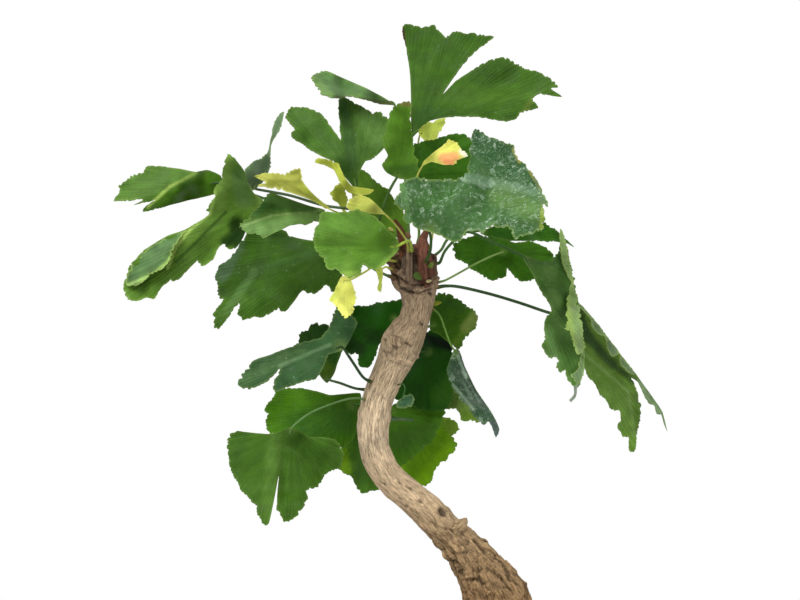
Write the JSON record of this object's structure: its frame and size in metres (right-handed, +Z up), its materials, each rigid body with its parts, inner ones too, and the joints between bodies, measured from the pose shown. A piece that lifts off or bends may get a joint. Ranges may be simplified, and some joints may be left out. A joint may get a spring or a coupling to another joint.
{
  "type": "ginkgo bonsai",
  "caption": "Ginkgo bonsai: a bent, knobbly tan trunk, fan-shaped notched green leaves on long stalks, a few yellow leaves, soil and a plain oval clay pot.",
  "frame": {"origin": "middle of the flat underside of the pot, which stands on the ground", "axes": "+Z up; the front of the tree, as pictured, is seen along +Y with +X to the right"},
  "size_m": [0.2836, 0.1428, 0.3854],
  "materials": {
    "leaf_green": "thin waxy leaf, mid to dark green",
    "leaf_yellow": "thin leaf turned yellow",
    "bark": "rough fissured tan bark",
    "soil": "matt gritty soil",
    "clay": "unglazed brown clay"
  },
  "bodies": {
    "root": {"leaf_by_trunk": "leaf_green", "leaf_centre_behind": "leaf_green", "leaf_centre_front": "leaf_green", "leaf_crown_folded": "leaf_green", "leaf_crown_spotted": "leaf_green", "leaf_drooping_inner": "leaf_green", "leaf_drooping_outer": "leaf_green", "leaf_far_left": "leaf_green", "leaf_left_edge_on": "leaf_green", "leaf_left_long": "leaf_green", "leaf_left_lower": "leaf_green", "leaf_left_upper": "leaf_green", "leaf_low_broad": "leaf_green", "leaf_low_dark": "leaf_green", "leaf_low_fan": "leaf_green", "leaf_low_hanging": "leaf_green", "leaf_low_under_trunk": "leaf_green", "leaf_mid_behind": "leaf_green", "leaf_mid_hanging": "leaf_green", "leaf_mid_left": "leaf_green", "leaf_right_back": "leaf_green", "leaf_right_dark": "leaf_green", "leaf_right_hanging": "leaf_green", "leaf_right_pale": "leaf_green", "leaf_right_shaded": "leaf_green", "leaf_right_upper": "leaf_green", "leaf_top_left": "leaf_green", "leaf_top_right": "leaf_green", "leaf_upper_left": "leaf_green", "leaf_yellow_centre": "leaf_yellow", "leaf_yellow_hanging": "leaf_yellow", "leaf_yellow_left": "leaf_yellow", "leaf_yellow_orange": "leaf_yellow", "leaf_yellow_small": "leaf_yellow", "leaf_yellow_tiny": "leaf_yellow", "leaf_yellow_top": "leaf_yellow", "leaf_yellow_twisted": "leaf_yellow", "pot": "clay", "soil": "soil", "trunk": "bark"}
  },
  "joints": []
}
